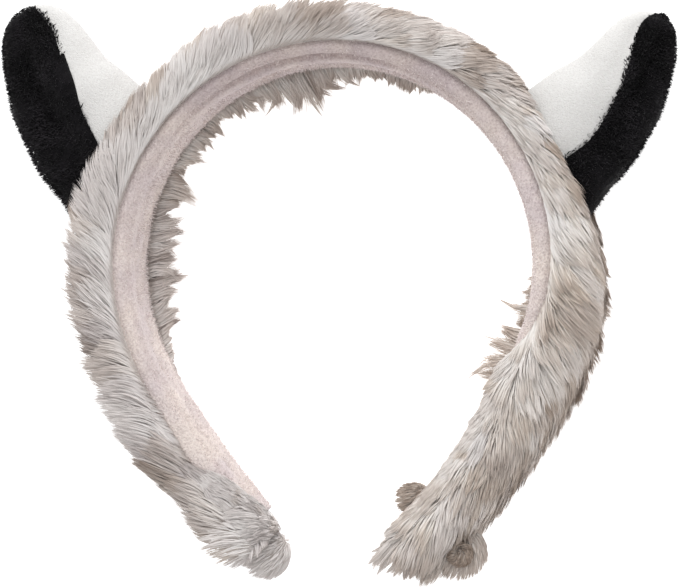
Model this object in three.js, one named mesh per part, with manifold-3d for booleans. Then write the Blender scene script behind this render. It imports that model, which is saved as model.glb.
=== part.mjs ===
// A plush raccoon-ear headband, lying on its back edge as it does when it is put down.
// Millimetres, +Z up. The band is an open hoop in the XY plane: +Y points to its crown, its two legs
// run towards -Y, and its front edge faces up. The origin is the middle of the footprint, on the floor.
import * as THREE from "three";
import Module from "manifold-3d";

const wasm = await Module();
wasm.setup();

// The path of the band's inner face: an arc over the head and two nearly straight legs.
const HEAD_RADIUS = 64;
const CROWN_SWEEP = 220; // degrees of the arc
const LEG_LENGTH = 77;
const LEG_RADIUS = 172; // the legs' own gentle inward bend

// The padded tube of cloth: a short-pile lining inside, the backing of the fur outside.
const BODY_THICK = 11;
const BODY_WIDE = 30;
const BODY_SQUARENESS = 3.2; // 2 is an ellipse, more is nearer to a rectangle
const LINING_WALL = 2.4;
const LINING_STOP = 9; // the lining ends this far short of each tip, where the fur closes over it
const FRONT_SEAM = 90; // degrees round the section from the outer face to the lining's front edge
const BACK_SEAM = 218; // and to its back edge, on the inner face a little above the floor
const FLAT_DEPTH = 1; // how far the edge that carries the weight is pressed flat
const TIP_ROUND = 9; // the length over which each end narrows to a round tip
const TIP_NARROWEST = 0.4; // what is left of the section's size at the very tip
const CLEARANCE = 0.35; // between pieces that touch

// The fur: a dense undercoat over the backing, and on top of it strips of longer locks, one below the other.
const UNDERCOAT = 7; // at the outer face; it thins out to nothing at the seams
const LOCK_LENGTH = 14;
const LOCK_THICK = 5;
const LOCK_PITCH = 14.5; // from one lock's tip to the next along the band
const LOCK_SINK = 3; // how deep a strip's root sits
const LOCK_STRAY = 20; // degrees by which neighbouring locks part
const LOCK_UNEVEN = 0.3; // how much longer or shorter a lock is than its neighbours
const GAP_LENGTH = 0.45; // where two locks part, as a share of a lock's length
const GAP_THICK = 0.4; // the same for the thickness
const END_LOCK_LENGTH = 17; // before the fur table's pile at that end
const END_LOCKS = 5;
const END_GAP_LENGTH = 0.65;
const END_OVERLAP = 12; // degrees by which the strip round an end runs past its own start
const END_FLARE = 0.25; // how far these locks spread outwards, as a share of their length
const OVERHANG = 15; // length of the tufts that reach over the lining into the head space
const TUFT_WANDER = 0.6; // how far a tuft may point to one side, as a share of its length
const TUFT_STOP = 0.01; // the tufts end this share of the path short of each tip
const BACK_TUFT_ROOT = 238; // degrees round the section
const BACK_TUFT_RISE = 0.25; // height of the roots above the floor, as a share of LOCK_THICK
const FRONT_TUFT_ROOT = 82;
const FRONT_TUFT_LEAN = 70;
const FRONT_TUFT_LENGTH = 0.7; // a share of OVERHANG
const FRONT_TUFTS_FROM = 0.8; // share of the path after which the fur closes over the lining's front edge
const SMOOTHING = 0.22; // facets that stand out by less than this are merged

// The ears.
const EAR_LENGTH = 58; // from the fur's backing to the tip
const EAR_WIDE = 42; // along the band, at the base
const EAR_DEEP = 25; // through both panels, at the base
const EAR_CENTRE = 0.483 * BODY_WIDE; // height of the ear's middle above the floor
const EAR_SINK = 5; // how far an ear's form starts inside the backing, which then trims it
const FOLD_DEPTH = 4; // of the fold that runs down the black panel
const FOLD_ANGLE = 122; // degrees round the ear's section
const FOLD_SPREAD = 20;
const SEAM_DIP = 0.9; // how far the cloth is drawn in at the seams
const SEAM_SPREAD = 13;
const EAR_BACK_SEAM = 262; // degrees, the seam on the ear's hidden side

// Counts of facets.
const BODY_SIDES = 16;
const BODY_STEPS = 32;
const EAR_SIDES = 20;

// The tube along the band: thick and wide are shares of BODY_THICK and BODY_WIDE, twist is in degrees and
// turns the outer face up towards the front edge.
const BODY_TABLE = [
  { at: 0.0, thick: 0.95, wide: 0.74, twist: -7 },
  { at: 0.12, thick: 0.98, wide: 0.84, twist: -6 },
  { at: 0.25, thick: 1.0, wide: 0.97, twist: -2 },
  { at: 0.35, thick: 1.0, wide: 1.0, twist: 0 },
  { at: 0.65, thick: 1.0, wide: 1.0, twist: 0 },
  { at: 0.76, thick: 1.0, wide: 0.97, twist: 3 },
  { at: 0.86, thick: 1.0, wide: 0.86, twist: 14 },
  { at: 1.0, thick: 0.95, wide: 0.74, twist: 18 },
];

// The fur along the band: pile is a share of the undercoat's and the locks' sizes, sweep is how far the fur
// is combed along the band in degrees (positive is clockwise, towards the right leg), and over is the share
// of OVERHANG that the tufts at the back edge reach into the head space.
const FUR_TABLE = [
  { at: 0.0, pile: 0.55, sweep: -30, over: 0.3 },
  { at: 0.03, pile: 0.6, sweep: -26, over: 0.1 },
  { at: 0.06, pile: 0.5, sweep: -20, over: 0.05 },
  { at: 0.1, pile: 0.85, sweep: -14, over: 0.05 },
  { at: 0.15, pile: 1.1, sweep: 0, over: 0.1 },
  { at: 0.19, pile: 1.06, sweep: 6, over: 0.7 },
  { at: 0.25, pile: 1.04, sweep: 14, over: 0.9 },
  { at: 0.31, pile: 0.98, sweep: 26, over: 0.9 },
  { at: 0.36, pile: 0.9, sweep: 10, over: 0.4 },
  { at: 0.42, pile: 0.85, sweep: 0, over: 0.9 },
  { at: 0.5, pile: 0.55, sweep: 16, over: 0.8 },
  { at: 0.55, pile: 0.6, sweep: 40, over: 0.05 },
  { at: 0.65, pile: 0.8, sweep: 46, over: 0.05 },
  { at: 0.74, pile: 0.98, sweep: 40, over: 0.05 },
  { at: 0.8, pile: 1.0, sweep: 42, over: 0.95 },
  { at: 0.86, pile: 0.88, sweep: 44, over: 1.0 },
  { at: 0.93, pile: 0.66, sweep: 48, over: 0.7 },
  { at: 0.97, pile: 0.8, sweep: 50, over: 0.55 },
  { at: 1.0, pile: 0.7, sweep: 50, over: 0.4 },
];

// Strips of locks round the tube. phi is 0 at the outer face, 90 at the front edge and -90 at the back edge,
// lean is how far a lock lies over from upright, and length is a share of LOCK_LENGTH.
const LOCK_ROWS = [
  { phi: 80, lean: 68, length: 1.0 },
  { phi: 50, lean: 62, length: 1.0 },
  { phi: 20, lean: 58, length: 0.95 },
  { phi: -10, lean: 58, length: 0.95 },
  { phi: -40, lean: 62, length: 1.0 },
  { phi: -70, lean: 70, length: 0.95 },
];

// A lock's upper side from tip to root: out is a share of its length and lift is a share of its thickness.
const LOCK_TOP = [
  { out: 1.0, lift: 0.0 },
  { out: 0.5, lift: 0.75 },
  { out: -0.12, lift: 0.45 },
];

// An ear from base to tip: wide and deep are shares of the ear's own, shift moves the section away from the
// crown as a share of the ear's width, seam is the angle of the front seam (0 faces the crown's middle,
// 90 the front edge), and fold is a share of FOLD_DEPTH.
const EAR_TABLE = [
  { at: 0.0, wide: 0.96, deep: 1.0, shift: 0.085, seam: 102, fold: 0.5 },
  { at: 0.2, wide: 1.0, deep: 1.0, shift: 0.11, seam: 100, fold: 0.9 },
  { at: 0.38, wide: 0.9, deep: 0.95, shift: 0.145, seam: 93, fold: 1.0 },
  { at: 0.53, wide: 0.79, deep: 0.88, shift: 0.18, seam: 83, fold: 1.0 },
  { at: 0.67, wide: 0.68, deep: 0.78, shift: 0.175, seam: 75, fold: 0.9 },
  { at: 0.8, wide: 0.58, deep: 0.66, shift: 0.16, seam: 69, fold: 0.7 },
  { at: 0.9, wide: 0.44, deep: 0.52, shift: 0.155, seam: 66, fold: 0.4 },
  { at: 0.965, wide: 0.28, deep: 0.34, shift: 0.16, seam: 66, fold: 0.1 },
  { at: 1.0, wide: 0.09, deep: 0.13, shift: 0.165, seam: 66, fold: 0.0 },
];

// The ears are stuffed and sewn on by hand, so they don't quite match. place is how many degrees round from
// the crown's middle an ear is sewn on, tilt is the ear's own direction, and turn moves its front seam.
// length, wide and deep are shares of EAR_LENGTH, EAR_WIDE and EAR_DEEP, and blunt is the share of its width
// by which the ear's tip is broader towards the crown.
const EAR_PAIR = [
  { side: "left", hand: -1, place: 64, tilt: 30, turn: -10, length: 1.06, wide: 1.04, deep: 1.02, blunt: 0.07 },
  { side: "right", hand: 1, place: 62, tilt: 34, turn: 1, length: 0.957, wide: 0.96, deep: 0.98, blunt: -0.04 },
];
const EARS = EAR_PAIR.map((ear) => ({
  ...ear,
  length: ear.length * EAR_LENGTH,
  wide: ear.wide * EAR_WIDE,
  deep: ear.deep * EAR_DEEP,
}));

const COLORS = { fur: 0xb9b1ad, lining: 0xcdc2bf, black: 0x0f0e10, white: 0xf0eeed };

const UP = new THREE.Vector3(0, 0, 1);
const QUARTER = 90;
const FULL = 360;
const CROWN_LENGTH = HEAD_RADIUS * THREE.MathUtils.degToRad(CROWN_SWEEP);
const PATH_LENGTH = CROWN_LENGTH + 2 * LEG_LENGTH;

const cosDeg = (degrees) => Math.cos(THREE.MathUtils.degToRad(degrees));
const sinDeg = (degrees) => Math.sin(THREE.MathUtils.degToRad(degrees));
const inPlane = (degrees) => new THREE.Vector3(cosDeg(degrees), sinDeg(degrees), 0);

// A number from 0 to 1 that looks random and is the same on every run.
function scatter(a, b = 0) {
  const wave = Math.sin(a * 12.9898 + b * 78.233 + 4.1) * 43758.5453;
  return wave - Math.floor(wave);
}

// A row of a table at any place between its rows, eased from row to row.
function rowAt(table, at) {
  const next = table.findIndex((row, i) => i > 0 && row.at >= at);
  const i = next < 0 ? table.length - 1 : next;
  const [from, to] = [table[i - 1], table[i]];
  const t = THREE.MathUtils.smoothstep(at, from.at, to.at);
  const row = {};
  for (const key of Object.keys(from)) row[key] = THREE.MathUtils.lerp(from[key], to[key], t);
  return row;
}

// The inner face's line at a share of its length from the left tip: a point, the outward normal and the
// direction towards the right tip.
function spineAt(share) {
  const s = share * PATH_LENGTH;
  const joint = QUARTER + CROWN_SWEEP / 2;
  const legPoint = (jointAngle, turn) => {
    const centre = inPlane(jointAngle).multiplyScalar(HEAD_RADIUS - LEG_RADIUS);
    return centre.addScaledVector(inPlane(jointAngle + turn), LEG_RADIUS);
  };
  let angle = joint - THREE.MathUtils.radToDeg((s - LEG_LENGTH) / HEAD_RADIUS);
  let point = inPlane(angle).multiplyScalar(HEAD_RADIUS);
  if (s < LEG_LENGTH) {
    const turn = THREE.MathUtils.radToDeg((LEG_LENGTH - s) / LEG_RADIUS);
    angle = joint + turn;
    point = legPoint(joint, turn);
  } else if (s > LEG_LENGTH + CROWN_LENGTH) {
    const turn = -THREE.MathUtils.radToDeg((s - LEG_LENGTH - CROWN_LENGTH) / LEG_RADIUS);
    angle = joint - CROWN_SWEEP + turn;
    point = legPoint(joint - CROWN_SWEEP, turn);
  }
  return { point, outward: inPlane(angle), along: new THREE.Vector3(sinDeg(angle), -cosDeg(angle), 0) };
}

// The tube's section at a share of the path: its middle, its own outward and upward axes and its half sizes.
function sectionAt(share) {
  const spine = spineAt(share);
  const row = rowAt(BODY_TABLE, share);
  const toTip = Math.min(share, 1 - share) * PATH_LENGTH;
  const missing = Math.max(0, 1 - toTip / TIP_ROUND);
  const narrowing = TIP_NARROWEST + (1 - TIP_NARROWEST) * Math.sqrt(1 - missing * missing);
  const out = spine.outward.clone().multiplyScalar(cosDeg(row.twist)).addScaledVector(UP, sinDeg(row.twist));
  const up = UP.clone().multiplyScalar(cosDeg(row.twist)).addScaledVector(spine.outward, -sinDeg(row.twist));
  const middle = spine.point.clone().addScaledVector(spine.outward, BODY_THICK / 2);
  return {
    middle: middle.addScaledVector(UP, (BODY_WIDE / 2) * row.wide - FLAT_DEPTH),
    out,
    up,
    along: spine.along,
    halfThick: (BODY_THICK / 2) * row.thick * narrowing,
    halfWide: (BODY_WIDE / 2) * row.wide * narrowing,
    undercoat: UNDERCOAT * rowAt(FUR_TABLE, share).pile * narrowing,
  };
}

// A point of a section's outline at the angle phi, moved out by grow, as its two coordinates in the section.
function outlinePoint(section, phi, grow = 0) {
  const rounded = (c) => Math.sign(c) * Math.abs(c) ** (2 / BODY_SQUARENESS);
  return new THREE.Vector2(
    (section.halfThick + grow) * rounded(cosDeg(phi)),
    (section.halfWide + grow) * rounded(sinDeg(phi)),
  );
}

// A point on the undercoat, or on the bare backing where there is none.
function furPoint(section, phi) {
  return outlinePoint(section, phi, section.undercoat * Math.sqrt(Math.max(0, cosDeg(phi))));
}

function inSpace(section, flat) {
  return section.middle.clone().addScaledVector(section.out, flat.x).addScaledVector(section.up, flat.y);
}

// A manifold-3d solid, for joining and cutting. A mirrored loft comes inside out, so its faces are turned.
function solidOf(vertProperties, triVerts) {
  const made = new wasm.Manifold(new wasm.Mesh({ numProp: 3, vertProperties, triVerts }));
  if (made.volume() >= 0) return made;
  for (let i = 0; i < triVerts.length; i += 3) {
    [triVerts[i + 1], triVerts[i + 2]] = [triVerts[i + 2], triVerts[i + 1]];
  }
  return new wasm.Manifold(new wasm.Mesh({ numProp: 3, vertProperties, triVerts }));
}

// One closed solid through rings of points, all with the same count. capPoints is a flat outline of as many
// points, from which both ends are closed.
function loft(rings, capPoints) {
  const count = rings[0].length;
  const faces = [];
  for (let ring = 0; ring + 1 < rings.length; ring++) {
    for (let i = 0; i < count; i++) {
      const a = ring * count + i;
      const b = ring * count + ((i + 1) % count);
      faces.push(a, b, b + count, a, b + count, a + count);
    }
  }
  const lastRing = (rings.length - 1) * count;
  for (const [a, b, c] of THREE.ShapeUtils.triangulateShape(capPoints, [])) {
    faces.push(c, b, a, lastRing + a, lastRing + b, lastRing + c);
  }
  const vertices = rings.flat().flatMap((p) => [p.x, p.y, p.z]);
  return solidOf(new Float32Array(vertices), new Uint32Array(faces));
}

// A loft along the band between two shares, with outline(section) giving each section's flat points.
function bandLoft(from, to, outline) {
  const rings = [];
  for (let i = 0; i <= BODY_STEPS; i++) {
    const section = sectionAt(from + ((to - from) * i) / BODY_STEPS);
    rings.push(outline(section).map((flat) => inSpace(section, flat)));
  }
  return loft(rings, outline(sectionAt(from + (to - from) / 2)));
}

// The angles of an arc of the section's outline.
function arcAngles(from, to) {
  const steps = Math.round((Math.abs(to - from) * BODY_SIDES) / FULL);
  return Array.from({ length: steps + 1 }, (_, i) => from + ((to - from) * i) / steps);
}

// The lining's wall between the two seams, or with a clearance the room that it takes up.
function liningOutline(clearance) {
  return (section) => {
    const seamGap = (clearance / section.halfThick) * (QUARTER / 3);
    const angles = arcAngles(FRONT_SEAM - seamGap, BACK_SEAM + seamGap);
    const inset = -LINING_WALL - clearance;
    return [
      ...angles.map((phi) => outlinePoint(section, phi, clearance)),
      ...angles.reverse().map((phi) => outlinePoint(section, phi, inset)),
    ];
  };
}

const wholeRound = arcAngles(0, FULL).slice(1);
const tubeOutline = (grow) => (section) => wholeRound.map((phi) => outlinePoint(section, phi, grow));
const furOutline = (section) => wholeRound.map((phi) => furPoint(section, phi));

// Everything below the floor, which flattens what rests on it.
function floorSlab() {
  const half = 2 * (HEAD_RADIUS + LEG_LENGTH);
  const corners = [[half, half], [-half, half], [-half, -half], [half, -half]];
  const rings = [-half, 0].map((z) => corners.map(([x, y]) => new THREE.Vector3(x, y, z)));
  return loft(rings, corners.map(([x, y]) => new THREE.Vector2(x, y)));
}

// A strip of locks through places that are in turn a lock's middle and the parting beside it. Each place has
// a root, the surface's normal there, the direction of the hair and the lock's length.
function lockStrip(places, gapLength = GAP_LENGTH) {
  const rings = places.map(({ root, normal, aim, length }, i) => {
    const isParting = i % 2 === 0;
    const reach = length * (isParting ? gapLength : 1);
    const thick = LOCK_THICK * (isParting ? GAP_THICK : 1);
    const top = LOCK_TOP.map(({ out, lift }) => {
      return root.clone().addScaledVector(aim, out * reach).addScaledVector(normal, lift * thick);
    });
    return [root.clone().addScaledVector(normal, -LOCK_SINK), ...top];
  });
  const outline = [new THREE.Vector2(0, -1), ...LOCK_TOP.map(({ out, lift }) => new THREE.Vector2(out, lift))];
  return loft(rings, outline);
}

const uneven = (a, b) => 1 + LOCK_UNEVEN * (scatter(a, b) - 0.5);

// A strip that runs along the band between two shares of its path, with two places for each lock.
function stripAlong(from, to, placeAt) {
  const count = 2 * Math.round(((to - from) * PATH_LENGTH) / LOCK_PITCH);
  return lockStrip(Array.from({ length: count + 1 }, (_, i) => placeAt(from + ((to - from) * i) / count, i)));
}

// A strip of one row, combed along the band as the fur table says.
function rowStrip(row, rowIndex) {
  const start = (0.2 + 0.5 * (rowIndex % 2)) * (LOCK_PITCH / PATH_LENGTH);
  return stripAlong(start, 1 - start, (share, i) => {
    const section = sectionAt(share);
    const fur = rowAt(FUR_TABLE, share);
    const { root, round, normal } = surfaceAt(section, row.phi);
    const sweep = fur.sweep + LOCK_STRAY * (scatter(i, rowIndex) - 0.5);
    const comb = section.along.clone().multiplyScalar(sinDeg(sweep)).addScaledVector(round, cosDeg(sweep));
    const aim = normal.clone().multiplyScalar(cosDeg(row.lean)).addScaledVector(comb, sinDeg(row.lean));
    const length = LOCK_LENGTH * fur.pile * row.length * uneven(rowIndex, i);
    return { root, normal, aim: aim.normalize(), length };
  });
}

// Where the undercoat's surface is at the angle phi, its normal there, and the way round the section that
// leads away from the nearer edge towards the outer face.
function surfaceAt(section, phi) {
  const step = phi > 0 ? -1 : 1;
  const root = inSpace(section, furPoint(section, phi));
  const round = inSpace(section, furPoint(section, phi + step)).sub(root).normalize();
  const normal = new THREE.Vector3().crossVectors(section.along, round).multiplyScalar(step).normalize();
  return { root, round, normal };
}

// The tufts at the back edge, which lie on the floor and reach into the head space.
function backTufts() {
  return stripAlong(TUFT_STOP, 1 - TUFT_STOP, (share, i) => {
    const section = sectionAt(share);
    const root = inSpace(section, outlinePoint(section, BACK_TUFT_ROOT));
    root.z = BACK_TUFT_RISE * LOCK_THICK;
    const length = OVERHANG * rowAt(FUR_TABLE, share).over * uneven(BACK_TUFT_ROOT, i);
    return { root, normal: UP, aim: strayInward(share, i), length };
  });
}

// The tufts that close over the lining's front edge on the right leg.
function frontTufts() {
  return stripAlong(FRONT_TUFTS_FROM, 1 - TUFT_STOP, (share, i) => {
    const { root, normal } = surfaceAt(sectionAt(share), FRONT_TUFT_ROOT);
    const aim = strayInward(share, i).multiplyScalar(sinDeg(FRONT_TUFT_LEAN));
    aim.addScaledVector(normal, cosDeg(FRONT_TUFT_LEAN)).normalize();
    return { root, normal, aim, length: FRONT_TUFT_LENGTH * OVERHANG * uneven(FRONT_TUFT_ROOT, i) };
  });
}

// The way into the head space, a little off to one side.
function strayInward(share, i) {
  const { outward, along } = spineAt(share);
  return outward.negate().addScaledVector(along, TUFT_WANDER * (scatter(i, 1) - 0.5)).normalize();
}

// The locks round one end of the band, which close over it. away is 1 at the right tip and -1 at the left.
function endTufts(share, away) {
  const section = sectionAt(share);
  const straight = section.along.clone().multiplyScalar(away);
  const { pile } = rowAt(FUR_TABLE, share);
  const count = 2 * END_LOCKS;
  const places = [];
  for (let i = 0; i <= count; i++) {
    const root = inSpace(section, furPoint(section, ((FULL + END_OVERLAP) * i) / count));
    const normal = root.clone().sub(section.middle).normalize();
    const aim = straight.clone().addScaledVector(normal, END_FLARE * scatter(i, away)).normalize();
    places.push({ root, normal, aim, length: END_LOCK_LENGTH * pile * uneven(i, away) });
  }
  return lockStrip(places, END_GAP_LENGTH);
}

// A dip that is deepest at one angle of a section.
const dip = (depth, psi, at, spread) => depth * Math.exp(-(((psi - at) / spread) ** 2));

// A point of an ear's section at the angle psi, as its distances towards the crown and up. The ellipse is
// pressed in along the black panel's fold and drawn in at both seams.
function earPoint(ear, row, psi, grow) {
  const seamAngles = [row.seam + ear.turn, EAR_BACK_SEAM, EAR_BACK_SEAM - FULL];
  const seamDip = Math.max(...seamAngles.map((at) => dip(SEAM_DIP, psi, at, SEAM_SPREAD)));
  const pressed = dip(FOLD_DEPTH * row.fold, psi, FOLD_ANGLE + ear.turn / 2, FOLD_SPREAD) + seamDip;
  const off = grow - pressed * Math.min(1, 2 * row.wide);
  const toCrown = ((ear.wide / 2) * (row.wide + ear.blunt * row.at) + off) * cosDeg(psi);
  const rise = ((ear.deep / 2) * row.deep + off) * sinDeg(psi);
  return { toCrown, rise };
}

// An ear's form, skinned between two angles of its section. A whole turn gives the whole ear, and less gives
// a padded panel whose ends are joined by a flat.
function earForm(ear, anglesOf, grow) {
  const upward = QUARTER - ear.hand * ear.tilt;
  const axis = inPlane(upward);
  const crownward = inPlane(upward + ear.hand * QUARTER);
  const base = inPlane(QUARTER - ear.hand * ear.place).multiplyScalar(HEAD_RADIUS + BODY_THICK);
  base.z = EAR_CENTRE;
  const rings = EAR_TABLE.map((row, ringIndex) => {
    const middle = base.clone().addScaledVector(axis, row.at * ear.length + (row.at === 1 ? grow : 0));
    middle.addScaledVector(crownward, ((ear.blunt / 2) * row.at - row.shift) * ear.wide);
    return anglesOf(ear, row).map((psi) => {
      const { toCrown, rise } = earPoint(ear, row, psi, grow);
      const point = middle.clone().addScaledVector(crownward, toCrown).addScaledVector(UP, rise);
      return ringIndex === 0 ? slideIntoBand(point, axis) : point;
    });
  });
  const turns = rings[0].map((_, i) => (FULL * i) / rings[0].length);
  return loft(rings, turns.map((turn) => new THREE.Vector2(cosDeg(turn), sinDeg(turn))));
}

const wholeTurn = () => Array.from({ length: EAR_SIDES }, (_, i) => (FULL * i) / EAR_SIDES);

// The angles of the black panel, or of the room that it takes up with a clearance at both seams.
function blackAngles(clearance) {
  const steps = EAR_SIDES / 2;
  return (ear, row) => {
    const gap = THREE.MathUtils.radToDeg(Math.atan2(clearance, (ear.deep / 2) * row.deep));
    const from = row.seam + ear.turn - gap;
    const to = EAR_BACK_SEAM + gap;
    return Array.from({ length: steps + 1 }, (_, i) => from + ((to - from) * i) / steps);
  };
}

// Slides a point along an ear's axis until it is EAR_SINK deep inside the crown's backing.
function slideIntoBand(point, axis) {
  const depth = HEAD_RADIUS + BODY_THICK - EAR_SINK;
  const across = point.x * axis.x + point.y * axis.y;
  const square = point.x ** 2 + point.y ** 2 - depth ** 2;
  return point.addScaledVector(axis, Math.sqrt(Math.max(0, across ** 2 - square)) - across);
}

function geometryOf(solid) {
  const mesh = solid.getMesh();
  const positions = new Float32Array(mesh.numVert * 3);
  for (let i = 0; i < mesh.numVert; i++) {
    positions.set(mesh.vertProperties.subarray(i * mesh.numProp, i * mesh.numProp + 3), i * 3);
  }
  const geometry = new THREE.BufferGeometry();
  geometry.setAttribute("position", new THREE.BufferAttribute(positions, 3));
  geometry.setIndex(new THREE.BufferAttribute(mesh.triVerts, 1));
  geometry.computeVertexNormals();
  return geometry;
}

// The largest body of a solid: a lock's tip that a cut has freed from its root falls away.
function rooted(solid) {
  return solid.decompose().reduce((best, body) => (body.volume() > best.volume() ? body : best));
}

function part(name, solid, color, roughness) {
  const material = new THREE.MeshStandardMaterial({ color, roughness, metalness: 0 });
  const mesh = new THREE.Mesh(geometryOf(solid), material);
  mesh.name = name;
  return mesh;
}

const floor = floorSlab();
const stop = LINING_STOP / PATH_LENGTH;
const roomStop = (LINING_STOP - CLEARANCE) / PATH_LENGTH;
const lining = bandLoft(stop, 1 - stop, liningOutline(0)).subtract(floor);
const liningRoom = bandLoft(roomStop, 1 - roomStop, liningOutline(CLEARANCE));
const earRooms = EARS.map((ear) => earForm(ear, wholeTurn, 2 * CLEARANCE));
const tube = bandLoft(0, 1, tubeOutline(0));
const tubeRoom = bandLoft(0, 1, tubeOutline(CLEARANCE));
const nearTip = TIP_ROUND / 2 / PATH_LENGTH;
const fur = wasm.Manifold.union([
  bandLoft(0, 1, furOutline),
  ...LOCK_ROWS.map(rowStrip),
  backTufts(),
  frontTufts(),
  endTufts(nearTip, -1),
  endTufts(1 - nearTip, 1),
]);
const besideEars = fur.subtract(wasm.Manifold.union(earRooms));
const furCover = rooted(tube.add(besideEars).subtract(liningRoom).subtract(floor)).simplify(SMOOTHING);

const headband = new THREE.Group();
headband.add(part("fur_cover", rooted(furCover), COLORS.fur, 0.95));
headband.add(part("lining", lining, COLORS.lining, 0.9));
for (const ear of EARS) {
  const black = earForm(ear, blackAngles(0), 0).subtract(tubeRoom);
  const blackRoom = earForm(ear, blackAngles(CLEARANCE), 3 * CLEARANCE);
  const white = earForm(ear, wholeTurn, 0).subtract(blackRoom).subtract(tubeRoom);
  headband.add(part(`ear_black_${ear.side}`, rooted(black), COLORS.black, 0.95));
  headband.add(part(`ear_white_${ear.side}`, rooted(white), COLORS.white, 0.9));
}

// The origin is the middle of the footprint's box.
const middle = new THREE.Box3().setFromObject(headband, true).getCenter(new THREE.Vector3());
headband.position.set(-middle.x, -middle.y, 0);

export default headband;
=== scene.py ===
"""A plush headband with a raccoon's ears, lying on its back edge on a pale floor.

The tables are in millimetres and the scene is in metres. The band is an open hoop: +Y points to its crown,
its two legs run towards -Y, and its front edge faces up.
"""

import math

import bpy
import numpy as np
from mathutils import Matrix, Vector
from mathutils.kdtree import KDTree


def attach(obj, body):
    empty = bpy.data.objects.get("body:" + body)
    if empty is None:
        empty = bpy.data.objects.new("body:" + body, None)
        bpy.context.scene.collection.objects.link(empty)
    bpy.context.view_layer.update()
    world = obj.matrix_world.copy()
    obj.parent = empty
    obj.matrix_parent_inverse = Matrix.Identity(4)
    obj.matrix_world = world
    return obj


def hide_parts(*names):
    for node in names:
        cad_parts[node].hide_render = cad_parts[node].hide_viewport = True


def table(headings, *rows):
    """Rows of values under the columns' headings."""
    return [dict(zip(headings.split(), row)) for row in rows]


MM = 0.001
CROWN_CENTRE = (1.29, 8.49)  # the centre of the crown's arc in the part's frame
FULL_TURN = 360

# The path of the band's inner face: an arc over the head and two gently bent legs.
HEAD_RADIUS = 64
CROWN_SWEEP = 220
LEG_LENGTH = 77
LEG_RADIUS = 172
CROWN_LENGTH = HEAD_RADIUS * math.radians(CROWN_SWEEP)
PATH_LENGTH = CROWN_LENGTH + 2 * LEG_LENGTH

# The padded tube and the lining on its inner side. Angles round the tube are in degrees: 0 faces outwards,
# 90 faces up and 180 faces the head.
BODY_THICK = 11
BODY_WIDE = 30
BODY_SQUARENESS = 3.2
LINING_WALL = 2.4
LINING_STOP = 9 / PATH_LENGTH  # the share of the path that the lining leaves free at each end
FRONT_SEAM = 90
BACK_SEAM = 218
FLAT_DEPTH = 1  # the lowest part of the tube, which the floor presses flat
TIP_ROUND = 9  # each end rounds off over this length
TIP_NARROWEST = 0.4
UNDERCOAT = 7
BACKING_INSET = 0.3
LINING_BED = 0.6  # how much deeper than the lining's wall the tube is sunk under it
BED_SPAN = 8  # degrees from a seam to that depth
TYPICAL_PLACE = 0.4  # a place along the band with a full section
SLOPE_STEP = 1.5  # degrees to each side of a point at which a slope is measured

# The tube along the band: thick and wide are shares of BODY_THICK and BODY_WIDE, twist is in degrees.
BODY_TABLE = table(
    "at thick wide twist",
    (0, 0.95, 0.74, -7),
    (0.12, 0.98, 0.84, -6),
    (0.25, 1, 0.97, -2),
    (0.35, 1, 1, 0),
    (0.65, 1, 1, 0),
    (0.76, 1, 0.97, 3),
    (0.86, 1, 0.86, 14),
    (1, 0.95, 0.74, 18),
)

# The fur along the band: pile is a share of its length, root and tip are how far it is combed along the band
# in degrees (positive is clockwise), cover is how many degrees it grows past the front seam over the lining,
# over is how far it reaches over the lining's back edge, and tone is how light it is from 0 to 1.
FUR_TABLE = table(
    "at pile root tip cover over tone",
    (0, 0.7, 20, 0, 100, 0.1, 0.47),
    (0.03, 0.82, 50, 40, 80, 0.05, 0.4),
    (0.055, 0.64, 64, 60, 42, 0.02, 0.32),
    (0.075, 0.86, 58, 62, 12, 0, 0.34),
    (0.11, 1.05, 50, 46, 8, 0, 0.42),
    (0.14, 1.02, 42, 28, 6, 0.02, 0.42),
    (0.17, 0.95, 42, 20, 0, 0.15, 0.4),
    (0.2, 0.96, 46, 34, 0, 0.65, 0.38),
    (0.24, 1.04, 56, 26, 0, 0.9, 0.38),
    (0.28, 1.04, 52, 46, 0, 0.85, 0.42),
    (0.32, 0.96, 72, 66, 0, 0.7, 0.52),
    (0.36, 0.84, 62, 52, 0, 0.5, 0.6),
    (0.4, 0.86, 42, 46, 0, 0.42, 0.62),
    (0.44, 0.86, 26, 42, 0, 0.85, 0.58),
    (0.48, 0.78, 32, 46, 0, 0.95, 0.48),
    (0.52, 0.74, 56, 62, 0, 0.6, 0.5),
    (0.56, 0.78, 58, 60, 0, 0.4, 0.46),
    (0.6, 0.76, 50, 66, 0, 0.05, 0.44),
    (0.64, 0.7, 66, 78, 0, 0, 0.48),
    (0.68, 0.7, 72, 76, 0, 0, 0.62),
    (0.72, 0.86, 62, 68, 0, 0, 0.62),
    (0.76, 1, 46, 32, 0, 0.45, 0.66),
    (0.8, 1.06, 47, 34, 6, 0.95, 0.7),
    (0.84, 0.97, 58, 50, 34, 0.85, 0.74),
    (0.88, 0.82, 74, 62, 56, 0.5, 0.66),
    (0.92, 0.73, 76, 74, 64, 0.15, 0.64),
    (0.95, 0.76, 66, 62, 70, 0, 0.68),
    (1, 0.78, 62, 66, 70, 0, 0.7),
)

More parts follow.
